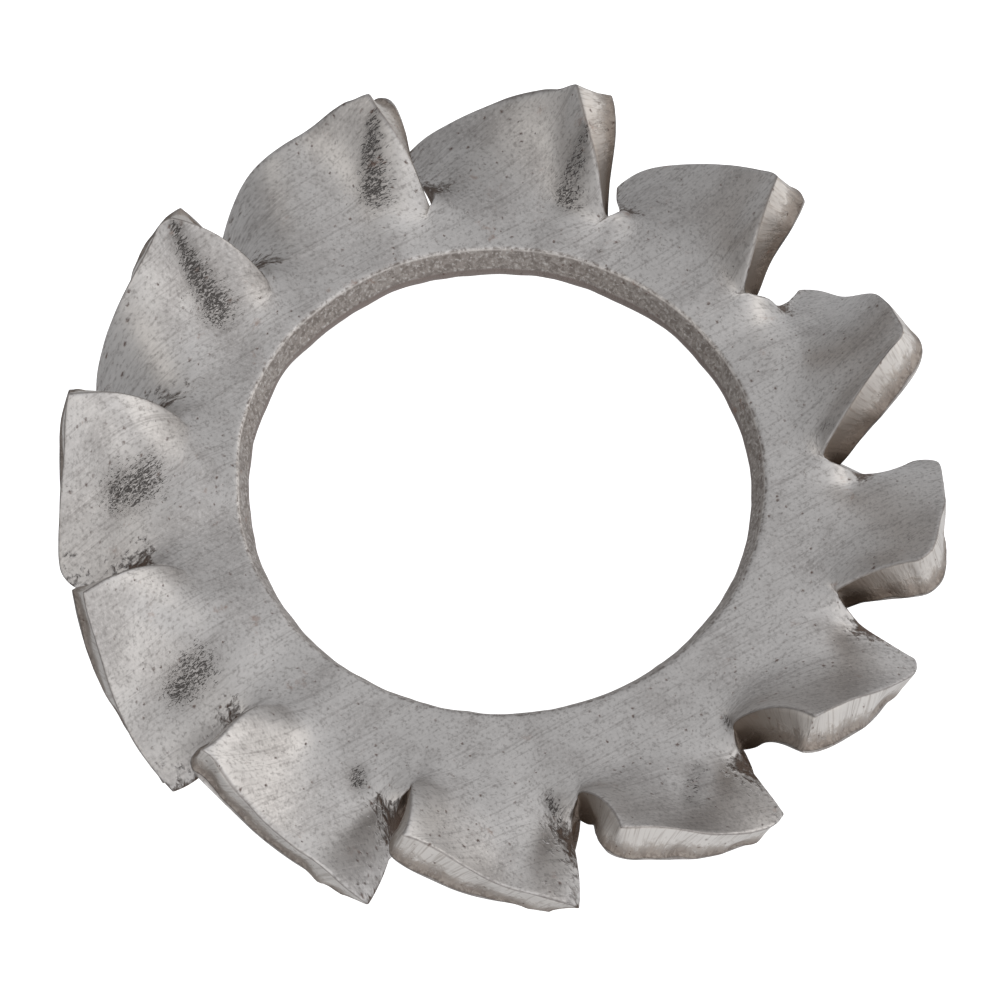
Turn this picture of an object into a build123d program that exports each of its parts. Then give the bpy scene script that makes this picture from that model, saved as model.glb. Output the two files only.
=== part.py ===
from build123d import *

"""External-tooth lock washer for a 6 mm screw, pressed from one piece of thin spring steel.

Millimetres. The origin is on the axis of the screw hole, in the middle of the sheet's thickness.
+Z runs along the hole, towards the side on which the hole is widest.
"""

import os
from collections import namedtuple
from math import cos, exp, hypot, radians, sin, sqrt

# Sheet and blank. The hole is punched a little off the centre of the tooth circle, and the notch
# between two teeth is a slit with a blunt end, one slot wide
SHEET = 0.45
OUTER_RADIUS = 5.5
TOOTH_CIRCLE_Y = -0.25
SLOT = 0.1

# Screw hole, punched from below: a smooth land under a torn mouth that flares upwards
HOLE_RADIUS = 3.12
MOUTH_RADIUS = 3.28
LAND_HEIGHT = 0.2
WORN_EDGE = 0.04

# How a tooth leaves the flat: its middle leans away slowly, its two sheared edges at once
LEAN = 1.2
EDGE_LEAN = 2.4
STRIP_SOFTNESS = 0.2

# Each tooth is a loft through cross-sections, spaced as shares of the way from the straight line
# between its two notches to the rim. The last one lies outside, where the rim is trimmed round
SECTION_SHARES = (0.0, 0.25, 0.6, 1.12)
POINTS_ACROSS = 7
SLOPE_STEP = 0.01

# angle, radius: root of the notch on the trailing, anticlockwise side of the tooth, in degrees
#   and from the centre of the tooth circle
# reach: radius at which the tooth ends
# trail, lead: angles of its two outer corners
# rim: height of its rim over the ring at five even steps from the trailing to the leading corner
# shelf, flap: width, at the notch, of the strip along the leading edge that the punch carried up
#   whole, and of the one along the trailing edge that it pushed down
Tooth = namedtuple("Tooth", "angle radius reach trail lead rim shelf flap")
TEETH = (
    Tooth(164.6, 4.14, 5.46, 157.2, 138.6, (-1.30, 0.00, 0.60, 0.95, 1.22), 0.75, 0.2),
    Tooth(133.0, 4.25, 5.56, 127.0, 105.4, (-1.35, 0.07, 0.30, 0.62, 0.98), 0.70, 0.2),
    Tooth(101.4, 4.25, 5.54, 100.0, 76.8, (-0.85, -0.26, 0.27, 0.66, 1.02), 0.50, 0.3),
    Tooth(70.7, 4.27, 5.46, 74.0, 47.0, (-1.42, -0.67, -0.02, 0.50, 0.98), 0.35, 0.3),
    Tooth(42.9, 4.28, 5.45, 46.6, 16.6, (-1.80, -1.17, 0.00, 0.88, 1.10), 0.30, 0.3),
    Tooth(7.6, 4.12, 5.56, 13.4, -13.9, (-1.25, -0.45, 0.02, 0.46, 0.68), 0.20, 0.3),
    Tooth(-18.1, 4.40, 5.44, -19.0, -46.7, (-0.95, -0.32, 0.33, 0.97, 1.46), 0.30, 0.3),
    Tooth(-48.7, 4.39, 5.45, -50.1, -75.8, (-0.50, -0.15, 0.27, 0.82, 1.10), 0.20, 0.4),
    Tooth(-77.4, 4.36, 5.44, -80.4, -104.2, (-0.70, -0.19, 0.14, 0.64, 0.96), 0.30, 0.5),
    Tooth(-105.2, 4.25, 5.50, -107.9, -132.9, (-0.85, -0.15, 0.27, 0.72, 1.08), 0.50, 0.5),
    Tooth(-133.7, 4.15, 5.43, -137.2, -162.5, (-0.68, -0.38, -0.10, 0.36, 0.86), 1.80, 0.3),
    Tooth(-166.0, 4.18, 5.47, -169.0, -190.8, (-0.50, -0.25, 0.20, 0.72, 1.12), 1.50, 0.3),
)


def on_circle(angle, radius):
    """A point in the sheet, given about the centre of the tooth circle."""
    return Vector(radius * cos(radians(angle)), TOOTH_CIRCLE_Y + radius * sin(radians(angle)), 0)


def notch(i):
    """The root of the notch before a tooth. The notch after the last tooth is the first one."""
    tooth = TEETH[i % len(TEETH)]
    return on_circle(tooth.angle, tooth.radius)


def plate():
    """The flat of the washer inside its teeth, with one straight side for each, not yet punched."""
    corners = [notch(i) for i in range(len(TEETH))]
    outline = make_face(Polyline(*corners, close=True))
    return Pos(0, 0, -SHEET / 2) * extrude(outline, SHEET, dir=(0, 0, 1))


def punched_hole():
    """The space of the hole, turned from the profile of its wall: worn edge, land and mouth."""
    bottom = -SHEET / 2
    land_foot = bottom + WORN_EDGE
    land_head = land_foot + LAND_HEIGHT
    profile = Polyline(
        (0, -SHEET),
        (HOLE_RADIUS + WORN_EDGE, -SHEET),
        (HOLE_RADIUS + WORN_EDGE, bottom),
        (HOLE_RADIUS, land_foot),
        (HOLE_RADIUS, land_head),
        (MOUTH_RADIUS, SHEET / 2),
        (MOUTH_RADIUS, SHEET),
        (0, SHEET),
        close=True,
    )
    return revolve(Plane.XZ * make_face(profile), Axis.Z)


def rim_height(tooth, across):
    """The rim's line: the smooth curve of the fourth degree through its five heights."""
    knots = [k / (len(tooth.rim) - 1) for k in range(len(tooth.rim))]
    total = 0
    for knot, height in zip(knots, tooth.rim):
        for other in knots:
            if other != knot:
                height *= (across - other) / (knot - other)
        total += height
    return total


def beside_edge(distance, strip):
    """Falls from one at a sheared edge to nothing beyond the strip that moved with it."""
    fall = 1 + exp((distance - strip) / STRIP_SOFTNESS)
    return (1 + exp(-strip / STRIP_SOFTNESS)) / fall


def sheet_height(tooth, across, width, share):
    """Height of the middle of the sheet over its flat place."""
    share = min(share, 1)
    body = share**LEAN
    excess = 1 - (1 - share) ** EDGE_LEAN - body
    lift = tooth.rim[-1] * beside_edge((1 - across) * width, tooth.shelf * (1 - share))
    droop = tooth.rim[0] * beside_edge(across * width, tooth.flap * (1 - share))
    return body * rim_height(tooth, across) + excess * (lift + droop)


def tooth_frame(i):
    """The plane of a tooth's cut along its bend line: x runs anticlockwise, y up and z outwards."""
    trailing, leading = notch(i), notch(i + 1)
    along = trailing - leading
    return Plane(origin=leading, x_dir=along, z_dir=along.cross(Vector(0, 0, 1)))


def tooth_section(i, share):
    """The sheet cut along a line beside the bend line: top, bottom and two sheared edges."""
    tooth = TEETH[i]
    bend = tooth_frame(i)
    trailing_corner = bend.to_local_coords(on_circle(tooth.trail, tooth.reach))
    leading_corner = bend.to_local_coords(on_circle(tooth.lead, tooth.reach))
    length = (notch(i) - notch(i + 1)).length
    middle = (notch(i) + notch(i + 1)) / 2
    full = OUTER_RADIUS - hypot(middle.X, middle.Y - TOOTH_CIRCLE_Y)
    station = share * full
    trailing_root, leading_root = length - SLOT / 2, SLOT / 2
    trailing = trailing_root + (trailing_corner.X - trailing_root) * station / trailing_corner.Z
    leading = leading_root + (leading_corner.X - leading_root) * station / leading_corner.Z
    width = trailing - leading

    def height(across, share):
        return sheet_height(tooth, across, width, share)

    top, bottom = [], []
    for k in range(POINTS_ACROSS):
        across = k / (POINTS_ACROSS - 1)
        x = trailing - width * across
        y = height(across, share)
        sideways = (y - height(across + SLOPE_STEP, share)) / (SLOPE_STEP * width)
        outwards = (height(across, share + SLOPE_STEP) - y) / (SLOPE_STEP * full)
        if share == 0:
            outwards = 0
        half = SHEET / 2 * sqrt(1 + outwards**2 / (1 + sideways**2))
        lean = half / sqrt(1 + sideways**2)
        top.append((x - sideways * lean, y + lean))
        bottom.append((x + sideways * lean, y - lean))
    bottom.reverse()
    # With the same even knots in every section, the loft between them stays simple and smooth
    knots = [k / (POINTS_ACROSS - 1) for k in range(POINTS_ACROSS)]
    outline = [
        Edge.make_spline(top, parameters=knots),
        Line(top[-1], bottom[0]),
        Edge.make_spline(bottom, parameters=knots),
        Line(bottom[-1], top[0]),
    ]
    return bend.offset(station) * Face(Wire(outline))


def twisted_tooth(i):
    blade = loft([tooth_section(i, share) for share in SECTION_SHARES])
    turned_away = Rot(0, 0, TEETH[i].trail + 165)
    return blade & Pos(0, TOOTH_CIRCLE_Y, 0) * turned_away * Cylinder(TEETH[i].reach, 2 * OUTER_RADIUS)


def lock_washer():
    return plate() - punched_hole() + [twisted_tooth(i) for i in range(len(TEETH))]


os.makedirs("parts", exist_ok=True)
export_step(lock_washer(), "parts/lock_washer.step")
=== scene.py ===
"""A toothed lock washer of rolled spring steel: slit, twisted, tumbled and a little crushed.

Lengths are in millimetres up to the point where a mesh is made, and in metres from there on.
Angles are in degrees, anticlockwise as seen from above, about the centre of the tooth circle.
"""

from collections import namedtuple
from math import cos, degrees, pi, radians, sin

import bmesh
import bpy
import numpy as np
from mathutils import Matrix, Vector


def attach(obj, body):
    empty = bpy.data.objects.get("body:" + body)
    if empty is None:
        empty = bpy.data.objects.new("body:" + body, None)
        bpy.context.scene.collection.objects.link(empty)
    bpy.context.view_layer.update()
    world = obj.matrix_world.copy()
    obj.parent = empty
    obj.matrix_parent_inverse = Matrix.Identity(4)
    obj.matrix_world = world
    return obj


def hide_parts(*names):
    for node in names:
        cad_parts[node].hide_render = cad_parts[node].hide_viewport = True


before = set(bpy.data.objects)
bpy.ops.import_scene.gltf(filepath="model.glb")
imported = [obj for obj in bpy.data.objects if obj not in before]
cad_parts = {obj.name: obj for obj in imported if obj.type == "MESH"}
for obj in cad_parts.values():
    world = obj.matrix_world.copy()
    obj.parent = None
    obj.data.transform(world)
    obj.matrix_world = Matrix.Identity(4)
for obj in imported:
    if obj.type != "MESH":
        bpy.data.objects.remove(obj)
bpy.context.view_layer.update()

MM = 0.001

# ---------------------------------------------------------------------------------------------
# Sizes
# ---------------------------------------------------------------------------------------------

SHEET = 0.45
OUTER_RADIUS = 5.5
TOOTH_CIRCLE_CENTRE = np.array([0.0, -0.25])
MOUTH_RADIUS = 3.28
FOOT_RADIUS = 3.155

# The wall of the hole from its mouth down: depth below the top face, and radius. The punch came
# from below, so the lower part is smooth and the upper part is torn and flares
HOLE_WALL = (
    (0.03, 3.270),
    (0.07, 3.245),
    (0.12, 3.220),
    (0.17, 3.190),
    (0.22, 3.160),
    (0.26, 3.130),
    (0.29, 3.120),
    (0.33, 3.115),
    (0.37, 3.115),
    (0.40, 3.120),
    (0.43, 3.130),
)

# angle, radius: root of the notch on the trailing, anticlockwise side of the tooth
# reach: radius at which the tooth ends
# trail, lead: angles of its two outer corners
# rim: height of its rim over the ring at five even steps from the trailing to the leading corner
# shelf, flap: width, at the notch, of the strip along the leading edge that the punch carried up
#   whole, and of the one along the trailing edge that it pushed down
# nick, knock: how far the trailing and the leading corner are knocked back
# rag, lip: how far the torn foot of the trailing and the leading cut face stands out. A row's
#   second line gives these last four
Tooth = namedtuple(
    "Tooth", "angle radius reach trail lead rim shelf flap nick knock rag lip"
)
TEETH = (
    Tooth(164.6, 4.14, 5.41, 157.2, 138.6, (-1.30, 0.00, 0.60, 0.95, 1.22), 0.75, 0.2,
          0.10, 0.13, 0.05, 0.06),
    Tooth(133.0, 4.25, 5.56, 127.0, 106.0, (-1.35, 0.07, 0.30, 0.62, 0.98), 0.70, 0.2,
          0.02, 0.10, 0.05, 0.2),
    Tooth(101.4, 4.25, 5.51, 101.0, 77.2, (-0.85, -0.26, 0.27, 0.68, 1.18), 0.50, 0.3,
          0.03, 0.10, 0.05, 0.1),
    Tooth(70.7, 4.27, 5.48, 73.2, 47.2, (-1.42, -0.69, -0.05, 0.56, 1.06), 0.35, 0.3,
          0.08, 0.13, 0.20, 0.10),
    Tooth(42.9, 4.28, 5.45, 46.2, 16.6, (-1.80, -1.38, -0.02, 0.87, 1.08), 0.30, 0.3,
          0.22, 0.28, 0.30, 0.10),
    Tooth(7.6, 4.12, 5.52, 12.8, -14.6, (-1.25, -0.45, 0.02, 0.46, 0.68), 0.20, 0.3,
          0.30, 0.20, 0.50, 0.12),
    Tooth(-18.1, 4.40, 5.47, -19.0, -46.7, (-0.95, -0.32, 0.33, 1.00, 1.42), 0.30, 0.3,
          0.14, 0.03, 0.25, 0.08),
    Tooth(-48.7, 4.39, 5.49, -50.1, -75.8, (-0.50, -0.15, 0.27, 0.82, 1.10), 0.20, 0.4,
          0.14, 0.08, 0.25, 0.03),
    Tooth(-77.4, 4.36, 5.42, -80.4, -104.2, (-0.70, -0.17, 0.14, 0.64, 0.96), 0.30, 0.5,
          0.07, 0.03, 0.20, 0.03),
    Tooth(-105.2, 4.25, 5.55, -107.9, -132.9, (-0.72, -0.02, 0.27, 0.70, 1.06), 0.50, 0.20,
          0.12, 0.03, 0.35, 0.03),
    Tooth(-133.7, 4.15, 5.48, -137.2, -162.5, (-0.68, -0.38, -0.10, 0.36, 0.86), 1.80, 0.3,
          0.03, 0.03, 0.05, 0.03),
    Tooth(-166.0, 4.18, 5.42, -169.0, -190.8, (-0.50, -0.25, 0.20, 0.72, 1.12), 1.50, 0.3,
          0.16, 0.02, 0.05, 0.05),
)

# Where the skin of each tooth is creased: sunk a little and darkened with painted shade. Near,
# far: the ends of the crease, each measured from the leading root along the bend line, and then
# out from that line. Start, end: its half-width at those two. Share: how hard it is creased, and
# how dark its painted shade
Crease = namedtuple("Crease", "near far start end share")
CREASES = (
    Crease((0.72, 0.28), (0.27, 1.10), 0.25, 0.06, 1.0),
    Crease((0.52, 0.38), (0.17, 1.08), 0.21, 0.06, 1.0),
    Crease((0.50, 0.18), (0.21, 0.82), 0.20, 0.05, 0.9),
    Crease((0.32, 0.12), (0.25, 0.25), 0.10, 0.08, 0.5),
    Crease((0.28, 0.20), (0.24, 0.30), 0.12, 0.08, 0.6),
    Crease((0.25, 0.00), (0.25, 0.10), 0.05, 0.05, 0.2),
    Crease((0.12, -0.18), (0.08, -0.10), 0.10, 0.08, 0.9),
    Crease((1.50, 0.20), (1.14, 0.65), 0.15, 0.12, 0.6),
    Crease((1.74, -0.10), (1.84, 0.00), 0.10, 0.12, 0.9),
    Crease((1.40, 0.12), (1.46, 0.22), 0.13, 0.12, 1.0),
    Crease((1.34, 0.38), (1.43, 0.66), 0.30, 0.26, 0.95),
    Crease((0.97, 0.38), (1.04, 0.56), 0.33, 0.30, 0.95),
)

# Dirt and painted shade sit in the pocket at the foot of a trailing edge, this far out and this
# far aside, and more thinly in a strip along that edge. Both begin a little way out from the root
# of the notch
POCKET = (0.55, 0.42)
TORN_EDGE = 0.12
TORN_EDGE_SHARE = 0.45
POCKET_START = 0.1
POCKET_START_BLUR = 0.04

# Over which radius the outer trailing corner is battered, and cut faces are darkened with painted
# shade round a notch
CRUSHED = 0.45
NOTCH_SHADE_REACH = 0.85

# A notch has a blunt end: each of its sides steps back by this angle, over this share of its length
NOTCH_BLUNTNESS = 0.7
NOTCH_BLUNT_SHARE = 0.04

# Share of the rim over which a corner is knocked back
CORNER_SHARE = 0.14

# A torn cut face leans out with this power of the depth. With this reach, the trailing foot stands
# out furthest a third of the way to the rim, by the tooth's rag
TORN_LEAN = 1.5
RAG_REACH = 2.6

# The hole is pressed in a little on one side: how far, at which angle and over which
HOLE_DENT = (0.055, 183, 24)

# How a cut face is marked on a tooth and in the hole
TOOTH_CUT = 1.0
HOLE_CUT = 0.5

# The owner of a point is a tooth's number, or this
RING = -1

# How the sheet bends. Lead-in: how far inside the bend line a tooth begins to lean. Lean, edge
# lean: how fast the middle and the edges leave the flat. Softness: how gradually the strips end
# beside the two edges, and spreading: how much more so a wide one. Tight bend, easing: how short
# the bend is at an edge, and how it grows away from it. Freed: where a slit edge is free to move
BEND_SIZES = (
    ("Lead-in", 0.25),
    ("Lean", 1.35),
    ("Edge lean", 2.4),
    ("Strip softness", 0.12),
    ("Trailing softness", 0.14),
    ("Spreading", 0.9),
    ("Tight bend", 0.04),
    ("Easing", 0.48),
    ("Freed", 0.15),
)
# How far from an edge the bend still grows
EASING_REACH = 0.7
# From which width on a strip counts as wide
WIDE_STRIP = 0.5
# Over which distance and which share of the width the slope is read
SLOPE_STEP = 0.02

# What rolling, shearing and tumbling leave behind. Waves are in the skin, tears in the cut faces.
# Tumbling draws each point this far to its neighbours' middle, in every turn of the barrel
WEAR_SIZES = (
    ("Waves per mm", 1.4),
    ("Wave height", 0.02),
    ("Crease depth", 0.03),
    ("Tears per mm", 3.2),
    ("Tear depth", 0.55),
    ("Tumbling", 0.75),
    ("Seed", 3.0),
)
TUMBLING_TURNS = 3

# Tears are drawn out through the sheet. They take away more than they leave standing, and grow
# towards the underside, from a height of this share of the sheet over its middle. The power
# leaves the hole's wall almost whole, since its mark is lower
TEAR_STRETCH = (1.0, 1.0, 0.55)
TEAR_BIAS = 0.6
TEAR_TOP = 0.65
TEAR_POWER = 3.0

# What each point keeps for the bending
SHEET_FIELDS = (
    "Across", "Beyond", "Apart", "Width", "Full", "Lift", "Droop", "Shelf", "Flap",
    "Rise 1", "Rise 2", "Rise 3", "Rise 4",
)

# How finely the skin is divided, and how much the divisions crowd together at both ends
ACROSS_STEPS = 48
RING_STEPS = 22
TOOTH_STEPS = 28
WALL_STEPS = 9
ACROSS_CROWDING = 0.35
RING_CROWDING = 0.3
TOOTH_CROWDING = 0.5
WALL_CROWDING = 0.5


def spaced(count, crowding):
    """Shares from 0 to 1 that crowd together at both ends."""
    even = np.linspace(0, 1, count + 1)
    return (1 - crowding) * even + crowding * (1 - np.cos(np.pi * even)) / 2


def on_circle(angle, radius):
    """A point in the sheet, given about the centre of the tooth circle."""
    spoke = np.stack([np.cos(np.radians(angle)), np.sin(np.radians(angle))], axis=-1)
    return TOOTH_CIRCLE_CENTRE + np.asarray(radius)[..., None] * spoke


class Blank:
    """The flat slit blank, closed all round. Each point also keeps what the twisting needs."""

    def __init__(self):
        self.places = []
        self.values = []
        self.outward = []
        self.clockwise = []
        self.skin = []
        self.cut = []
        self.edge = []
        self.owner = []
        self.index = {}
        self.faces = []

    def point(self, place, depth, values, outward, clockwise, cut, edge, owner):
        """The number of the point at a place, made once for all the faces that meet there."""
        key = (round(place[0], 4), round(place[1], 4), round(depth, 4))
        if key not in self.index:
            self.index[key] = len(self.places)
            self.places.append(place)
            self.skin.append(0.5 - depth)
            self.values.append(values)
            self.outward.append(outward)
            self.clockwise.append(clockwise)
            self.cut.append(cut)
            self.edge.append(edge)
            self.owner.append(owner)
        return self.index[key]

    def patch(self, grid):
        """Joins a grid of points into faces. Where points coincide, a face has three sides."""
        rows, columns = len(grid), len(grid[0])
        for i in range(rows - 1):
            for j in range(columns - 1):
                corners = (grid[i][j], grid[i + 1][j], grid[i + 1][j + 1], grid[i][j + 1])
                if len(set(corners)) == 4:
                    self.faces.append(corners)
                elif len(set(corners)) == 3:
                    self.faces.append(tuple(dict.fromkeys(corners)))


def add_tooth(blank, number):
    """One tooth with its share of the ring: both skins, the hole's wall, the rim and both sides."""
    tooth = TEETH[number]
    following = TEETH[(number + 1) % len(TEETH)]
    lead_angle = following.angle - (360 if following.angle > tooth.angle else 0)
    trailing_root = on_circle(tooth.angle, tooth.radius)
    leading_root = on_circle(lead_angle, following.radius)
    chord = leading_root - trailing_root
    clockwise = chord / np.linalg.norm(chord)
    outward = np.array([-clockwise[1], clockwise[0]])
    bend_distance = float(outward @ (trailing_root - TOOTH_CIRCLE_CENTRE))
    full = OUTER_RADIUS - bend_distance

    across = spaced(ACROSS_STEPS, ACROSS_CROWDING)
    root_angle = tooth.angle + (lead_angle - tooth.angle) * across
    root_radius = tooth.radius + (following.radius - tooth.radius) * across
    root_place = on_circle(root_angle, root_radius)
    hole_direction = root_place / np.linalg.norm(root_place, axis=1, keepdims=True)

    # The rim's line is the quartic through its five heights
    heights = len(tooth.rim)
    rise = np.polynomial.Polynomial.fit(
        np.linspace(0, 1, heights), tooth.rim, heights - 1, domain=[0, 1], window=[0, 1]
    ).coef

    def values_at(i, place, apart, width):
        beyond = float(outward @ (place - trailing_root))
        return (
            across[i], beyond, apart, width, full, tooth.rim[-1], -tooth.rim[0],
            tooth.shelf, tooth.flap, *rise[1:],
        )

    corner_rounding = (
        tooth.nick * np.clip(1 - across / CORNER_SHARE, 0, None) ** 2
        + tooth.knock * np.clip(1 - (1 - across) / CORNER_SHARE, 0, None) ** 2
    )

    def ring_place(i, share, start_radius):
        start = start_radius * hole_direction[i]
        return start + (root_place[i] - start) * share

    def tooth_place(i, share, depth=0.0):
        reach = tooth.reach - corner_rounding[i]
        radius = root_radius[i] + (reach - root_radius[i]) * share
        opening = NOTCH_BLUNTNESS * (1 - np.exp(-share / NOTCH_BLUNT_SHARE))
        torn = depth ** TORN_LEAN * np.sqrt(share) * degrees(1 / radius)
        foot = RAG_REACH * (1 - share) * tooth.rag * torn
        trail = tooth.angle + (tooth.trail - tooth.angle) * share - opening + foot
        lead = lead_angle + (tooth.lead - lead_angle) * share + opening - tooth.lip * torn
        return on_circle(trail + (lead - trail) * across[i], radius)

    def width_at(share):
        return float(np.linalg.norm(tooth_place(0, share) - tooth_place(ACROSS_STEPS, share)))

    hole_angle = np.degrees(np.arctan2(root_place[:, 1], root_place[:, 0])) % 360
    dent_depth, dent_angle, dent_spread = HOLE_DENT
    hole_bulge = -dent_depth * np.exp(-(((hole_angle - dent_angle) / dent_spread) ** 2))

    def add_ring_point(i, share, start_radius, depth, cut=0.0):
        start_radius = start_radius + hole_bulge[i]
        place = ring_place(i, share, start_radius)
        edge = min(depth, 1 - depth) * SHEET if cut else np.linalg.norm(place) - start_radius
        width = float(np.linalg.norm(ring_place(0, share, start_radius)
                                     - ring_place(ACROSS_STEPS, share, start_radius)))
        apart = min(across[i], 1 - across[i]) * width
        values = values_at(i, place, apart, width)
        return blank.point(place, depth, values, outward, clockwise, cut, edge, RING)

    def add_tooth_point(i, share, depth, cut=0.0):
        place = tooth_place(i, share, depth)
        apart = min(np.linalg.norm(place - trailing_root), np.linalg.norm(place - leading_root))
        width = width_at(share)
        if cut:
            edge = min(depth, 1 - depth) * SHEET
        else:
            from_rim = (1 - share) * (tooth.reach - root_radius[i])
            edge = min(across[i] * width, (1 - across[i]) * width, from_rim)
        values = values_at(i, place, apart, width)
        return blank.point(place, depth, values, outward, clockwise, cut, edge, number)

    ring_rows = spaced(RING_STEPS, RING_CROWDING)
    tooth_rows = spaced(TOOTH_STEPS, TOOTH_CROWDING)[1:]
    columns = range(ACROSS_STEPS + 1)
    for depth, start_radius in ((0.0, MOUTH_RADIUS), (1.0, FOOT_RADIUS)):
        grid = [[add_ring_point(i, s, start_radius, depth) for i in columns] for s in ring_rows]
        grid += [[add_tooth_point(i, s, depth) for i in columns] for s in tooth_rows]
        blank.patch(grid)

    wall = [[add_ring_point(i, 0.0, MOUTH_RADIUS, 0.0) for i in columns]]
    for deep, radius in HOLE_WALL:
        wall.append([add_ring_point(i, 0.0, radius, deep / SHEET, HOLE_CUT) for i in columns])
    wall.append([add_ring_point(i, 0.0, FOOT_RADIUS, 1.0) for i in columns])
    blank.patch(wall)

    depths = spaced(WALL_STEPS, WALL_CROWDING)
    rim = [[add_tooth_point(i, 1.0, d, TOOTH_CUT) for i in columns] for d in depths]
    blank.patch(rim)
    for i in (0, ACROSS_STEPS):
        side = [[add_ring_point(i, 1.0, MOUTH_RADIUS, d, TOOTH_CUT) for d in depths]]
        side += [[add_tooth_point(i, s, d, TOOTH_CUT) for d in depths] for s in tooth_rows]
        blank.patch(side)


def damage_and_shade_fields(places, owner):
    """How creased each place is, how deep in a pocket of dirt and painted shade, how battered and
    how near a notch.
    """
    amounts = {name: np.zeros(len(places)) for name in ("crease", "pocket", "crushed", "root")}
    for number, (tooth, crease) in enumerate(zip(TEETH, CREASES)):
        following = TEETH[(number + 1) % len(TEETH)]
        trailing_root = on_circle(tooth.angle, tooth.radius)
        leading_root = on_circle(following.angle, following.radius)
        along = trailing_root - leading_root
        along = along / np.linalg.norm(along)
        out = np.array([along[1], -along[0]])
        near, far = [leading_root + a * along + b * out for a, b in (crease.near, crease.far)]
        line = far - near
        share = np.clip((places - near) @ line / (line @ line), 0, 1)
        off = np.linalg.norm(places - near - share[:, None] * line, axis=1)
        width = crease.start + (crease.end - crease.start) * share
        crease_and_shade = crease.share * np.exp(-((off / width) ** 2))

        trailing_corner = on_circle(tooth.trail, tooth.reach)
        foot = trailing_corner - trailing_root
        foot = foot / np.linalg.norm(foot)
        offset = places - trailing_root
        sideways = offset @ np.array([foot[1], -foot[0]])
        pocket = np.exp(-((offset @ foot / POCKET[0]) ** 2) - (sideways / POCKET[1]) ** 2)
        torn_edge = TORN_EDGE_SHARE * np.exp(-((sideways / TORN_EDGE) ** 2))
        begun = 1 + np.exp((POCKET_START - offset @ foot) / POCKET_START_BLUR)
        pocket = np.maximum(pocket, torn_edge) / begun
        corner = np.exp(-((np.linalg.norm(places - trailing_corner, axis=1) / CRUSHED) ** 2))

        here = (owner == number) | (owner == RING)
        nearer = np.minimum(np.linalg.norm(places - trailing_root, axis=1),
                            np.linalg.norm(places - leading_root, axis=1))
        root = np.exp(-((nearer / NOTCH_SHADE_REACH) ** 2))
        for name, amount in (
            ("crease", crease_and_shade), ("pocket", pocket), ("crushed", corner), ("root", root),
        ):
            amounts[name] = np.maximum(amounts[name], np.where(here, amount, 0))
    return amounts


def mesh_of_blank(blank):
    """The blank as a mesh whose points carry what the twisting and the steel need to know."""
    mesh = bpy.data.meshes.new("slit_blank")
    places = np.array(blank.places)
    skin = np.array(blank.skin)
    points = np.column_stack([places, skin * SHEET]) * MM
    mesh.from_pydata(points.tolist(), [], blank.faces)
    shell = bmesh.new()
    shell.from_mesh(mesh)
    bmesh.ops.recalc_face_normals(shell, faces=shell.faces)
    shell.to_mesh(mesh)
    shell.free()

    def keep(name, kind, data):
        layer = mesh.attributes.new(name, kind, "POINT")
        field = "vector" if kind == "FLOAT_VECTOR" else "value"
        layer.data.foreach_set(field, np.asarray(data, np.float32).ravel())

    values = np.array(blank.values)
    for number, name in enumerate(SHEET_FIELDS):
        keep(name.lower(), "FLOAT", values[:, number])
    keep("skin", "FLOAT", skin)
    keep("cut", "FLOAT", blank.cut)
    keep("hole", "FLOAT", np.array(blank.cut) == HOLE_CUT)
    keep("edge", "FLOAT", blank.edge)
    for name, amount in damage_and_shade_fields(places, np.array(blank.owner)).items():
        keep(name, "FLOAT", amount)
    flat = np.zeros(len(skin))
    keep("outward", "FLOAT_VECTOR", np.column_stack([np.array(blank.outward), flat]))
    keep("clockwise", "FLOAT_VECTOR", np.column_stack([np.array(blank.clockwise), flat]))
    keep("blank", "FLOAT_VECTOR", points / MM)
    return mesh


# ---------------------------------------------------------------------------------------------
# Node helpers
# ---------------------------------------------------------------------------------------------


MATH = "ShaderNodeMath"
VECTOR = "ShaderNodeVectorMath"
NUMBER = "NodeSocketFloat"


def add(tree, kind, links=(), **settings):
    """Adds a node with its settings and links, and gives the first socket that it puts out."""
    node = tree.nodes.new(kind)
    for name, value in settings.items():
        setattr(node, name, value)
    sockets = [socket for socket in node.inputs if socket.enabled]
    by_name = {socket.name: socket for socket in reversed(sockets)}
    for place, value in links.items() if isinstance(links, dict) else enumerate(links):
        socket = by_name[place] if isinstance(place, str) else sockets[place]
        if isinstance(value, bpy.types.NodeSocket):
            tree.links.new(value, socket)
        else:
            socket.default_value = value
    return next((socket for socket in node.outputs if socket.enabled), None)


def open_tree(name, inputs, outputs):
    """A new Geometry Nodes tree with named inputs and outputs."""
    tree = bpy.data.node_groups.new(name, "GeometryNodeTree")
    for label, kind, value in inputs:
        socket = tree.interface.new_socket(label, in_out="INPUT", socket_type=kind)
        if value is not None:
            socket.default_value = value
    for label, kind in outputs:
        tree.interface.new_socket(label, in_out="OUTPUT", socket_type=kind)
    return tree


# ---------------------------------------------------------------------------------------------
# Twisting the blank
# ---------------------------------------------------------------------------------------------


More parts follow.
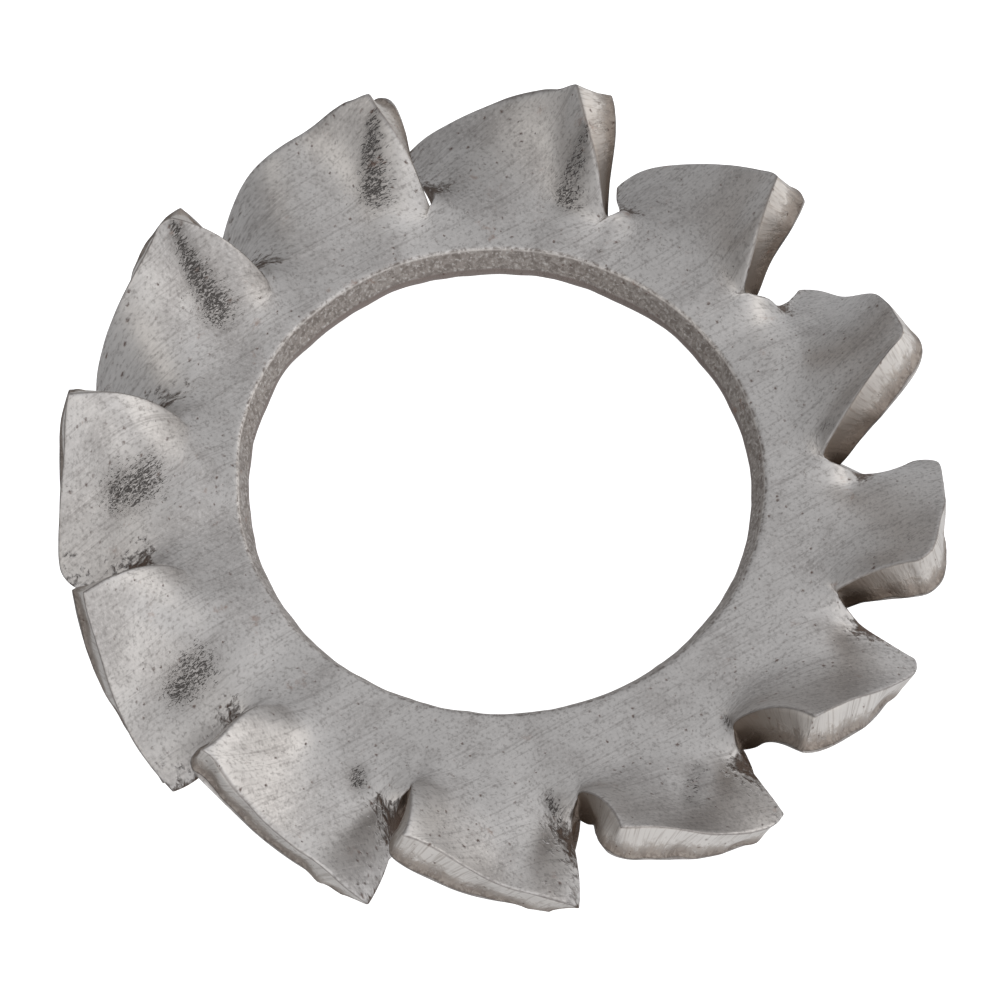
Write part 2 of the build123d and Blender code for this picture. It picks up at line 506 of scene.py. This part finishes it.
def sheet_height_group():
    """Height of the bent sheet over its flat place.

    The middle of a tooth leans away gently. Its two sheared edges leave the ring at once, and
    carry a strip of the sheet with them, so the sheet is steepest beside them, near the notches.
    """
    tree = open_tree(
        "sheet height",
        [(name, NUMBER, 0.0) for name in SHEET_FIELDS] + [(n, NUMBER, v) for n, v in BEND_SIZES],
        [("Height", NUMBER)],
    )
    given = tree.nodes.new("NodeGroupInput").outputs
    beyond, full, lead_in = given["Beyond"], given["Full"], given["Lead-in"]

    # Distances from the two sheared edges, and how sharply the sheet bends there
    rest = add(tree, MATH, (1.0, given["Across"]), operation="SUBTRACT")
    from_leading = add(tree, MATH, (rest, given["Width"]), operation="MULTIPLY")
    from_trailing = add(tree, MATH, (given["Across"], given["Width"]), operation="MULTIPLY")
    nearer = add(tree, MATH, (from_leading, from_trailing), operation="MINIMUM")
    inside = add(tree, "ShaderNodeClamp", (nearer, 0.0, EASING_REACH))
    bend = add(tree, MATH, (inside, given["Easing"], given["Tight bend"]), operation="MULTIPLY_ADD")
    bend_squared = add(tree, MATH, (bend, bend), operation="MULTIPLY")
    root = add(tree, MATH, (beyond, beyond, bend_squared), operation="MULTIPLY_ADD")
    root = add(tree, MATH, (root,), operation="SQRT")
    eased = add(tree, MATH, (beyond, root), operation="ADD")
    eased = add(tree, MATH, (eased, full), operation="DIVIDE")
    eased = add(tree, MATH, (eased, 0.5), operation="MULTIPLY")

    # The gentle lean of the middle, and how much further the edges have gone
    gone = add(tree, MATH, (beyond, lead_in), operation="ADD")
    whole = add(tree, MATH, (full, lead_in), operation="ADD")
    body = add(tree, MATH, (gone, whole), operation="DIVIDE")
    body = add(tree, "ShaderNodeClamp", (body,))
    body = add(tree, MATH, (body, given["Lean"]), operation="POWER")
    left_over = add(tree, "ShaderNodeClamp", (eased,))
    left_over = add(tree, MATH, (1.0, left_over), operation="SUBTRACT")
    edge = add(tree, MATH, (left_over, given["Edge lean"]), operation="POWER")
    edge = add(tree, MATH, (1.0, edge), operation="SUBTRACT")
    excess = add(tree, MATH, (edge, body), operation="SUBTRACT")
    excess = add(tree, MATH, (excess, 0.0), operation="MAXIMUM")

    # The rim's line
    rim = given["Rise 4"]
    for name in ("Rise 3", "Rise 2", "Rise 1"):
        rim = add(tree, MATH, (rim, given["Across"], given[name]), operation="MULTIPLY_ADD")
    rim = add(tree, MATH, (rim, given["Across"]), operation="MULTIPLY")
    rim = add(tree, MATH, (rim, given["Droop"]), operation="SUBTRACT")

    # The strips: one beside the edge, half at the strip's width, then nothing
    strips = []
    for distance, strip, softness, far in (
        (from_leading, "Shelf", "Strip softness", "Lift"),
        (from_trailing, "Flap", "Trailing softness", "Droop"),
    ):
        plateau = add(tree, MATH, (given[strip], left_over), operation="MULTIPLY")
        wide = add(tree, MATH, (given[strip], WIDE_STRIP), operation="SUBTRACT")
        wide = add(tree, MATH, (wide, 0.0), operation="MAXIMUM")
        spread = add(tree, MATH, (wide, given["Spreading"], 1.0), operation="MULTIPLY_ADD")
        spread = add(tree, MATH, (given[softness], spread), operation="MULTIPLY")
        past = add(tree, MATH, (distance, plateau), operation="SUBTRACT")
        past = add(tree, MATH, (past, spread), operation="DIVIDE")
        past = add(tree, MATH, (past,), operation="EXPONENT")
        start = add(tree, MATH, (plateau, spread), operation="DIVIDE")
        start = add(tree, MATH, (0.0, start), operation="SUBTRACT")
        start = add(tree, MATH, (start,), operation="EXPONENT")
        above = add(tree, MATH, (1.0, start), operation="ADD")
        below = add(tree, MATH, (1.0, past), operation="ADD")
        fading = add(tree, MATH, (above, below), operation="DIVIDE")
        strips.append(add(tree, MATH, (fading, given[far]), operation="MULTIPLY"))
    carried = add(tree, MATH, (strips[0], strips[1]), operation="SUBTRACT")
    carried = add(tree, MATH, (excess, carried), operation="MULTIPLY")
    height = add(tree, MATH, (rim, body, carried), operation="MULTIPLY_ADD")
    freed = add(tree, "ShaderNodeMapRange", {"Value": given["Apart"], "From Max": given["Freed"]},
                interpolation_type="SMOOTHSTEP")
    height = add(tree, MATH, (height, freed), operation="MULTIPLY")
    add(tree, "NodeGroupOutput", (height,))
    return tree


def twist_tree(material):
    """Bends every tooth out of the blank, tears its cut faces and rounds its edges."""
    tree = open_tree(
        "twist, tear and tumble",
        [("Geometry", "NodeSocketGeometry", None)]
        + [(name, NUMBER, value) for name, value in (*BEND_SIZES, *WEAR_SIZES)],
        [("Geometry", "NodeSocketGeometry")],
    )
    given = tree.nodes.new("NodeGroupInput").outputs
    fields = {}
    for name in (*SHEET_FIELDS, "skin", "cut", "crease"):
        fields[name] = add(tree, "GeometryNodeInputNamedAttribute", {"Name": name.lower()},
                           data_type="FLOAT")
    outward, clockwise, blank = [
        add(tree, "GeometryNodeInputNamedAttribute", {"Name": name}, data_type="FLOAT_VECTOR")
        for name in ("outward", "clockwise", "blank")
    ]

    # The height here, a step further out and a step across give the slope of the sheet
    group = sheet_height_group()
    beyond, across = fields["Beyond"], fields["Across"]
    heights = []
    for moved in (
        {},
        {"Beyond": add(tree, MATH, (beyond, SLOPE_STEP), operation="ADD")},
        {"Across": add(tree, MATH, (across, SLOPE_STEP), operation="ADD")},
    ):
        fed = {name: fields[name] for name in SHEET_FIELDS}
        fed.update({name: given[name] for name, _ in BEND_SIZES})
        fed.update(moved)
        heights.append(add(tree, "GeometryNodeGroup", fed, node_tree=group))
    here, further, along = heights
    rise_out = add(tree, MATH, (further, here), operation="SUBTRACT")
    slope_out = add(tree, MATH, (rise_out, SLOPE_STEP), operation="DIVIDE")
    rise_along = add(tree, MATH, (along, here), operation="SUBTRACT")
    run = add(tree, MATH, (fields["Width"], SLOPE_STEP), operation="MULTIPLY")
    slope_along = add(tree, MATH, (rise_along, run), operation="DIVIDE")
    lean_out = add(tree, VECTOR, {"Vector": outward, "Scale": slope_out}, operation="SCALE")
    lean_along = add(tree, VECTOR, {"Vector": clockwise, "Scale": slope_along}, operation="SCALE")
    lean = add(tree, VECTOR, (lean_out, lean_along), operation="ADD")
    normal = add(tree, VECTOR, ((0.0, 0.0, 1.0), lean), operation="SUBTRACT")
    normal = add(tree, VECTOR, (normal,), operation="NORMALIZE")

    # Each skin lies half a sheet from the bent middle
    through = add(tree, MATH, (fields["skin"], SHEET), operation="MULTIPLY")
    offset = add(tree, VECTOR, {"Vector": normal, "Scale": through}, operation="SCALE")
    flat = add(tree, VECTOR, (blank, (1.0, 1.0, 0.0)), operation="MULTIPLY")
    dent = add(tree, MATH, (fields["crease"], given["Crease depth"]), operation="MULTIPLY")
    sunk = add(tree, MATH, (here, dent), operation="SUBTRACT")
    lifted = add(tree, "ShaderNodeCombineXYZ", {"Z": sunk})
    middle = add(tree, VECTOR, (flat, lifted), operation="ADD")
    bent = add(tree, VECTOR, (middle, offset), operation="ADD")
    bent = add(tree, VECTOR, {"Vector": bent, "Scale": MM}, operation="SCALE")
    shape = add(tree, "GeometryNodeSetPosition", {"Geometry": given["Geometry"], "Position": bent})

    # The rolled skin isn't quite flat, and the cut faces are torn, most of all at their foot
    way = add(tree, "GeometryNodeInputNormal")
    waves = add(tree, "ShaderNodeTexNoise",
                {"Vector": blank, "W": given["Seed"], "Scale": given["Waves per mm"],
                 "Detail": 2.0}, noise_dimensions="4D")
    waves = add(tree, MATH, (waves, 0.5), operation="SUBTRACT")
    waves = add(tree, MATH, (waves, given["Wave height"]), operation="MULTIPLY")
    ragged = add(tree, VECTOR, (blank, TEAR_STRETCH), operation="MULTIPLY")
    tear = add(tree, "ShaderNodeTexNoise",
               {"Vector": ragged, "W": given["Seed"], "Scale": given["Tears per mm"],
                "Detail": 4.0, "Roughness": 0.6}, noise_dimensions="4D")
    tear = add(tree, MATH, (tear, TEAR_BIAS), operation="SUBTRACT")
    tear = add(tree, MATH, (tear, given["Tear depth"]), operation="MULTIPLY")
    lower = add(tree, MATH, (TEAR_TOP, fields["skin"]), operation="SUBTRACT")
    tear = add(tree, MATH, (tear, lower), operation="MULTIPLY")
    on_teeth = add(tree, MATH, (fields["cut"], TEAR_POWER), operation="POWER")
    tear = add(tree, MATH, (tear, on_teeth), operation="MULTIPLY")
    uneven = add(tree, MATH, (waves, tear), operation="ADD")
    uneven = add(tree, MATH, (uneven, MM), operation="MULTIPLY")
    shift = add(tree, VECTOR, {"Vector": way, "Scale": uneven}, operation="SCALE")
    shape = add(tree, "GeometryNodeSetPosition", {"Geometry": shape, "Offset": shift})

    # Tumbling in the barrel rounds everything a little
    place = add(tree, "GeometryNodeInputPosition")
    eased = add(tree, "GeometryNodeBlurAttribute",
                {"Value": place, "Iterations": TUMBLING_TURNS, "Weight": given["Tumbling"]},
                data_type="FLOAT_VECTOR")
    shape = add(tree, "GeometryNodeSetPosition", {"Geometry": shape, "Position": eased})
    shape = add(tree, "GeometryNodeSetShadeSmooth", {"Geometry": shape})
    shape = add(tree, "GeometryNodeRealizeInstances", {"Geometry": shape})
    shape = add(tree, "GeometryNodeSetMaterial", {"Geometry": shape, "Material": material})
    add(tree, "NodeGroupOutput", (shape,))
    return tree


def put(name, data):
    """A new object, placed in the scene."""
    thing = bpy.data.objects.new(name, data)
    bpy.context.scene.collection.objects.link(thing)
    return thing


def baked(mesh, tree, sizes, name):
    """Runs a tree on a mesh with the given sizes, and gives the outcome as a plain object."""
    source = put("blank", mesh)
    modifier = source.modifiers.new("twist", "NODES")
    modifier.node_group = tree
    for socket in tree.interface.items_tree:
        if socket.in_out == "INPUT" and socket.socket_type == NUMBER:
            modifier[socket.identifier] = sizes[socket.name]
    graph = bpy.context.evaluated_depsgraph_get()
    result = bpy.data.meshes.new_from_object(source.evaluated_get(graph))
    source.modifiers.remove(modifier)
    bpy.data.objects.remove(source)
    result.name = name
    return put(name, result)


# ---------------------------------------------------------------------------------------------
# Materials
# ---------------------------------------------------------------------------------------------


def hex_colour(code):
    """An sRGB hex colour as linear RGBA."""
    channels = [int(code[i:i + 2], 16) / 255 for i in (1, 3, 5)]
    linear = [c / 12.92 if c <= 0.04045 else ((c + 0.055) / 1.055) ** 2.4 for c in channels]
    return (*linear, 1.0)


def new_material(name):
    """A new material whose tree is still empty."""
    material = bpy.data.materials.new(name)
    material.use_nodes = True
    tree = material.node_tree
    tree.nodes.clear()
    return material, tree


# Sizes in the surface, in millimetres of the flat blank. Where there are two, they're a mark's
# length and width, or a striation's width and its height through the sheet. The grain and the
# shear marks of real strip are about a hundredth of a millimetre, too fine to show in the render,
# so the grain, the crinkles and the striations are drawn about three times as coarse
ROLLING_ANGLE = 33
ROLLING_LINE = (0.9, 0.03)
STAIN = 0.8
GRAIN = 0.04
CRINKLE = (0.05, 0.024)
PIT_SPACING = 0.105
PIT_RAGGEDNESS = 0.06
STRIATION = (0.028, 0.45)
CRUMB = 0.08
RUST = 0.35
# Width of the painted shade along the teeth's rounded edges
EDGE_SHADE_WIDTH = 0.03
LIP = 0.045

# The share of places without a pit, by how much it changes in a battered corner, and the radius
# of the largest pit as a share of their spacing
PITLESS = 0.35
BATTERED_PITS = -0.3
LARGEST_PIT = 0.32

# The level of their pattern at which crinkles begin to show, by how much it changes where the
# skin is creased, and how much above it they show in full. Their dark marks are partly crinkling
# and partly painted shade in the creases
CRINKLE_ONSET = 0.72
CREASE_EFFECT = -0.26
CRINKLE_BLUR = 0.12

# Heights in the cut faces, as shares of the sheet over its middle: where the smooth land ends, and
# how unevenly the torn part begins
LAND_TOP = -0.1
TORN_UNEVENNESS = 1.2

# Inside a bend line, the two distances between which a place stops counting as the ring
RING_LIMIT = (-0.25, -0.1)

# How much a battered corner adds to the dirt and painted shade, and how much they come in crumbs
BATTERED_DIRT_AND_SHADE = 0.3
CRUMBLY_DIRT_AND_SHADE = 1.6


def rolled_spring_steel():
    """Hardened spring steel strip, cold rolled, slit by a punch and tumbled in a barrel.

    Rolling leaves a satin grey skin with faint straight lines and small brown pits. Where a strip
    was sheared out of the plane the skin is crinkled, darkened with painted shade and flecked with
    painted highlights. The cut faces are scored through their thickness and torn towards the
    underside. Dirt, rust and painted shade sit at the notches, painted shade darkens the hole's
    wall and the teeth's edges, and the hole's edge has a painted highlight and a dark ring that is
    partly dirt and partly painted shadow.
    """
    material, tree = new_material("rolled spring steel, sheared and tumbled")
    flat = add(tree, "ShaderNodeAttribute", attribute_name="blank").node.outputs["Vector"]

    # Amounts at each place, by name. First come those that the mesh carries
    shares = {}
    for name in ("crease", "cut", "hole", "edge", "pocket", "crushed", "root", "skin", "beyond"):
        attribute = add(tree, "ShaderNodeAttribute", attribute_name=name)
        shares[name] = attribute.node.outputs["Fac"]

    # Patterns
    rolled = add(tree, "ShaderNodeVectorRotate",
                 {"Vector": flat, "Angle": radians(-ROLLING_ANGLE)}, rotation_type="Z_AXIS")
    patterns = {}
    for name, vector, (length, width, depth), detail, roughness, distortion in (
        ("lines", rolled, (*ROLLING_LINE, ROLLING_LINE[1]), 2.0, 0.6, 0.0),
        ("stains", flat, (STAIN,) * 3, 5.0, 0.6, 0.3),
        ("grain", flat, (GRAIN,) * 3, 3.0, 0.6, 0.0),
        ("crinkles", rolled, (*CRINKLE, CRINKLE[1]), 1.5, 0.6, 1.5),
        ("striations", flat, (STRIATION[0], *STRIATION), 2.0, 0.5, 0.0),
        ("crumbs", flat, (CRUMB,) * 3, 4.0, 0.65, 0.5),
        ("rust", flat, (RUST,) * 3, 6.0, 0.7, 0.0),
    ):
        scaled = add(tree, VECTOR, (vector, (1 / length, 1 / width, 1 / depth)),
                     operation="MULTIPLY")
        patterns[name] = add(tree, "ShaderNodeTexNoise", {
            "Vector": scaled, "Scale": 1.0, "Detail": detail, "Roughness": roughness,
            "Distortion": distortion,
        })
    shifted = add(tree, VECTOR, (patterns["grain"].node.outputs["Color"],
                                 (PIT_RAGGEDNESS,) * 3, flat), operation="MULTIPLY_ADD")
    cells = add(tree, "ShaderNodeTexVoronoi", {"Vector": shifted, "Scale": 1 / PIT_SPACING})
    chance = add(tree, "ShaderNodeSeparateColor", (cells.node.outputs["Color"],))
    pitless = add(tree, MATH, (shares["crushed"], BATTERED_PITS, PITLESS),
                  operation="MULTIPLY_ADD")
    pit_size = add(tree, "ShaderNodeMapRange",
                   {"Value": chance, "From Min": pitless, "To Max": LARGEST_PIT})

    # What some of the finishes follow
    onset = add(tree, MATH, (shares["crease"], CREASE_EFFECT, CRINKLE_ONSET),
                operation="MULTIPLY_ADD")
    whole = add(tree, MATH, (onset, CRINKLE_BLUR), operation="ADD")
    rough_depth = add(tree, MATH, (patterns["crumbs"], TORN_UNEVENNESS, shares["skin"]),
                      operation="MULTIPLY_ADD")
    edge_shade_reach = add(tree, MATH, (patterns["crumbs"], 2 * EDGE_SHADE_WIDTH), operation="MULTIPLY")
    dirt_and_shade_level = add(tree, MATH, (shares["crushed"], BATTERED_DIRT_AND_SHADE, shares["pocket"]),
               operation="MULTIPLY_ADD")
    dirt_and_shade_level = add(tree, MATH, (patterns["crumbs"], CRUMBLY_DIRT_AND_SHADE, dirt_and_shade_level), operation="MULTIPLY_ADD")
    off_ring = add(tree, "ShaderNodeMapRange", {
        "Value": shares["beyond"], "From Min": RING_LIMIT[0], "From Max": RING_LIMIT[1],
    })
    shares["off ring"] = off_ring
    shares["on ring"] = add(tree, MATH, (1.0, off_ring), operation="SUBTRACT")

    # Where each finish shows: the value that it follows, between which two levels of that value it
    # comes or goes, and how strongly it shows at the one and at the other
    for name, value, start, end, at_start, at_end in (
        ("stained", patterns["stains"], 0.42, 0.66, 0.0, 0.7),
        ("lined", patterns["lines"], 0.52, 0.7, 0.0, 0.38),
        ("scratched", patterns["lines"], 0.42, 0.26, 0.0, 0.4),
        ("grained", patterns["grain"], 0.5, 0.7, 0.0, 0.5),
        ("bright", patterns["grain"], 0.48, 0.3, 0.0, 0.5),
        # Crinkles gather in the creases: their dark is partly crinkling and partly painted shade
        ("crinkles_and_shade", patterns["crinkles"], onset, whole, 0.0, 0.9),
        ("crinkle_highlights", patterns["crinkles"], 0.42, 0.34, 0.0, 0.7),
        ("scored", patterns["striations"], 0.48, 0.7, 0.0, 0.55),
        ("crumbled", patterns["crumbs"], 0.42, 0.62, 0.0, 0.8),
        ("rusty", patterns["rust"], 0.62, 0.72, 0.0, 0.4),
        ("sheared", shares["cut"], 0.15, 0.45, 0.0, 1.0),
        ("torn", rough_depth, 0.7, 0.2, 0.0, 1.0),
        ("land", shares["skin"], LAND_TOP + 0.03, LAND_TOP - 0.03, 0.0, 1.0),
        ("step", shares["skin"], LAND_TOP + 0.09, LAND_TOP + 0.04, 0.0, 1.0),
        ("tooth_edge_shade", shares["edge"], 0.0, edge_shade_reach, 0.55, 0.0),
        ("lip", shares["edge"], 0.0, LIP, 0.8, 0.0),
        ("dirt_and_shade", dirt_and_shade_level, 1.1, 1.5, 0.0, 0.9),
        ("pitted", cells, 0.0, pit_size, 0.85, 0.0),
    ):
        shares[name] = add(tree, "ShaderNodeMapRange", {
            "Value": value, "From Min": start, "From Max": end,
            "To Min": at_start, "To Max": at_end,
        }, interpolation_type="SMOOTHSTEP")
    shares["step"] = add(tree, MATH, (shares["step"], shares["land"]), operation="SUBTRACT",
                         use_clamp=True)

    # Finishes that keep to one place, or that are held back everywhere
    for name, finish, limit in (
        ("torn", "torn", "sheared"),
        ("tooth_edge_shade", "tooth_edge_shade", "off ring"),
        ("lip", "lip", "on ring"),
        ("lip wear and highlight", "lip", "hole"),
        ("lip dirt and shadow", "lip", "crumbled"),
        ("step", "step", "hole"),
        ("scored", "scored", "sheared"),
        ("rubble", "crumbled", "torn"),
        ("land", "land", "hole"),
        ("crinkle_highlights", "crease", "crinkle_highlights"),
        ("sparkling", "hole", "bright"),
        ("notch_shade", "root", "sheared"),
        ("hole_wall_shade", "hole", 0.75),
        ("speckled", "hole", "crumbled"),
        ("speckled", "speckled", 0.6),
        # Painted shade: each crease darkened as a whole
        ("crease_and_shade", "crease", 0.66),
    ):
        limit = shares.get(limit, limit)
        shares[name] = add(tree, MATH, (shares[finish], limit), operation="MULTIPLY")

    # Finishes, painted shade and highlights are laid over the clean skin one by one, each with its
    # colour and roughness
    colour, roughness = hex_colour("#CBC8C5"), 0.42
    for name, finish_colour, finish_roughness in (
        ("stained", "#B2AEAB", 0.5),
        ("lined", "#918C89", 0.5),
        ("scratched", "#DAD6D3", 0.42),
        ("grained", "#86817E", 0.55),
        ("bright", "#D8D4D1", 0.4),
        # Painted shade: a grey darkening along each crease
        ("crease_and_shade", "#7A7673", 0.55),
        # Painted highlights: light flecks among the crinkles in the creases
        ("crinkle_highlights", "#C9C5C2", 0.5),
        # Dark crinkles, partly the crinkled skin and partly painted shade in the creases
        ("crinkles_and_shade", "#54504E", 0.6),
        ("sheared", "#DAD6D1", 0.46),
        ("torn", "#A89F97", 0.56),
        ("scored", "#A69E97", 0.5),
        ("rubble", "#776D66", 0.62),
        ("step", "#D6D2CE", 0.38),
        # Painted shade: cut faces darkened near the root of a notch
        ("notch_shade", "#82756A", 0.52),
        # Painted shade: the hole's wall darker than the teeth's cut faces
        ("hole_wall_shade", "#948C86", 0.5),
        ("speckled", "#5C524B", 0.6),
        ("sparkling", "#DFDBD7", 0.42),
        ("land", "#857A74", 0.4),
        # Partly dirt, partly painted shadow: a dark crumbly ring round the hole's mouth
        ("lip dirt and shadow", "#54463E", 0.55),
        # Partly polish from tumbling, partly painted highlight: a bright line along the hole's
        # edges
        ("lip wear and highlight", "#E2DEDA", 0.38),
        # Painted shade: a dark line along the teeth's rounded edges
        ("tooth_edge_shade", "#6B615B", 0.5),
        ("rusty", "#8A6450", 0.55),
        # Partly dirt, partly painted shade: dark brown where each trailing edge bends steeply down
        ("dirt_and_shade", "#5A493D", 0.6),
        ("pitted", "#5C463C", 0.65),
    ):
        share = shares[name]
        colour = add(tree, "ShaderNodeMix", (share, colour, hex_colour(finish_colour)),
                     data_type="RGBA")
        roughness = add(tree, "ShaderNodeMix", (share, roughness, finish_roughness))

    # Relief in millimetres: the pattern, where it shows if not everywhere, and its height
    relief = 0.0
    for pattern, place, height in (
        (patterns["lines"], None, 0.001),
        (patterns["stains"], None, 0.004),
        (patterns["grain"], None, 0.002),
        (shares["crinkles_and_shade"], "crease", -0.012),
        (patterns["crumbs"], "torn", 0.025),
        (patterns["striations"], "sheared", 0.006),
        (patterns["crumbs"], "dirt_and_shade", 0.04),
        (shares["pitted"], None, -0.006),
    ):
        if place:
            pattern = add(tree, MATH, (pattern, shares[place]), operation="MULTIPLY")
        relief = add(tree, MATH, (pattern, height, relief), operation="MULTIPLY_ADD")
    bump = add(tree, "ShaderNodeBump", {"Strength": 1.0, "Distance": MM, "Height": relief})

    shader = add(tree, "ShaderNodeBsdfPrincipled", {
        "Base Color": colour, "Metallic": 1.0, "Roughness": roughness, "Normal": bump,
    })
    add(tree, "ShaderNodeOutputMaterial", {"Surface": shader})
    return material


def white_table():
    """White laminate with a matt pressed face: an even white, kept even by a faint glow."""
    material, tree = new_material("white laminate table, pressed matt")
    shader = add(tree, "ShaderNodeBsdfPrincipled", {
        "Base Color": hex_colour("#F4F4F4"), "Roughness": 0.9,
        "Emission Color": hex_colour("#FFFFFF"), "Emission Strength": 0.8,
    })
    add(tree, "ShaderNodeOutputMaterial", {"Surface": shader})
    return material


# ---------------------------------------------------------------------------------------------
# Building the scene
# ---------------------------------------------------------------------------------------------


def build_washer():
    blank = Blank()
    for number in range(len(TEETH)):
        add_tooth(blank, number)
    mesh = mesh_of_blank(blank)
    tree = twist_tree(rolled_spring_steel())
    washer = baked(mesh, tree, dict((*BEND_SIZES, *WEAR_SIZES)), "twisted_lock_washer")
    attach(washer, "root")
    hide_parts("lock_washer")
    return washer


# Half the table's side, in metres
TABLE_HALF = 0.3


def build_table(washer):
    """A flat table top that the lowest point of the washer stands on."""
    lowest = min(vertex.co.z for vertex in washer.data.vertices)
    corners = [
        (x * TABLE_HALF, y * TABLE_HALF, lowest) for x, y in ((-1, -1), (1, -1), (1, 1), (-1, 1))
    ]
    mesh = bpy.data.meshes.new("table")
    mesh.from_pydata(corners, [], [(0, 1, 2, 3)])
    mesh.materials.append(white_table())
    table = put("table", mesh)
    table.visible_glossy = False


# The camera stands 220 mm from the washer and looks down at it, 61 degrees above the table
CAMERA_DISTANCE = 220.14
CAMERA_TILT = 29.05
CAMERA_SWING = 0.8
PIXELS_PER_MM = 81.15
AXIS_PIXEL = (498.4, 487.9)
IMAGE_SIDE = 1000


def build_camera():
    data = bpy.data.cameras.new("camera")
    camera = put("camera", data)
    bpy.context.scene.camera = camera
    data.sensor_width = 36.0
    data.lens = data.sensor_width * PIXELS_PER_MM * CAMERA_DISTANCE / IMAGE_SIDE
    data.clip_start = 10 * MM
    data.clip_end = 10.0
    camera.rotation_euler = (radians(CAMERA_TILT), radians(-CAMERA_SWING), 0)
    turn = camera.rotation_euler.to_matrix()
    right = (IMAGE_SIDE / 2 - AXIS_PIXEL[0]) / PIXELS_PER_MM
    up = (AXIS_PIXEL[1] - IMAGE_SIDE / 2) / PIXELS_PER_MM
    camera.location = turn @ (Vector((right, up, CAMERA_DISTANCE)) * MM)


# The soft boxes face the washer from this far, in metres, and their cloth is a little warm. Each
# has its angle round the washer and over the table, its width and height and its cloth's glow
SOFT_BOX_DISTANCE = 0.5
SOFT_BOX_COLOUR = "#FFF8EE"
SOFT_BOXES = (
    ("right soft box", 15, 18, 0.55, 0.32, 0.55),
    ("left soft box", 212, 42, 0.45, 0.32, 0.5),
    ("front soft box", 292, 44, 0.4, 0.3, 0.35),
)


def add_soft_box(name, azimuth, elevation, width, height, glow):
    """A soft box that faces the washer."""
    data = bpy.data.lights.new(name, "AREA")
    data.shape = "RECTANGLE"
    data.size, data.size_y = width, height
    data.energy = glow * pi * width * height
    data.color = hex_colour(SOFT_BOX_COLOUR)[:3]
    box = put(name, data)
    level = SOFT_BOX_DISTANCE * cos(radians(elevation))
    box.location = (level * cos(radians(azimuth)), level * sin(radians(azimuth)),
                    SOFT_BOX_DISTANCE * sin(radians(elevation)))
    box.rotation_euler = (radians(90 - elevation), 0, radians(azimuth + 90))


# The studio's walls are brighter to the right and in front of the washer than on the far side.
# The glow changes between these two, within this much of the way to either side
BRIGHT_SIDE = (0.9, -0.43, 0.0)
DIM_GLOW = 0.48
BRIGHT_GLOW = 0.95
GLOW_LIMIT = 0.6
STUDIO_COLOUR = "#FBFCFF"


def build_light():
    world = bpy.data.worlds.new("studio")
    bpy.context.scene.world = world
    world.use_nodes = True
    tree = world.node_tree
    walls = tree.nodes["Background"].inputs
    walls["Color"].default_value = hex_colour(STUDIO_COLOUR)
    direction = add(tree, "ShaderNodeTexCoord").node.outputs["Generated"]
    facing = add(tree, VECTOR, (direction, BRIGHT_SIDE), operation="DOT_PRODUCT")
    facing = facing.node.outputs["Value"]
    glow = add(tree, "ShaderNodeMapRange", {
        "Value": facing, "From Min": -GLOW_LIMIT, "From Max": GLOW_LIMIT,
        "To Min": DIM_GLOW, "To Max": BRIGHT_GLOW,
    })
    tree.links.new(glow, walls["Strength"])
    for soft_box in SOFT_BOXES:
        add_soft_box(*soft_box)
    bpy.context.scene.view_settings.view_transform = "Standard"


washer = build_washer()
build_table(washer)
build_camera()
build_light()
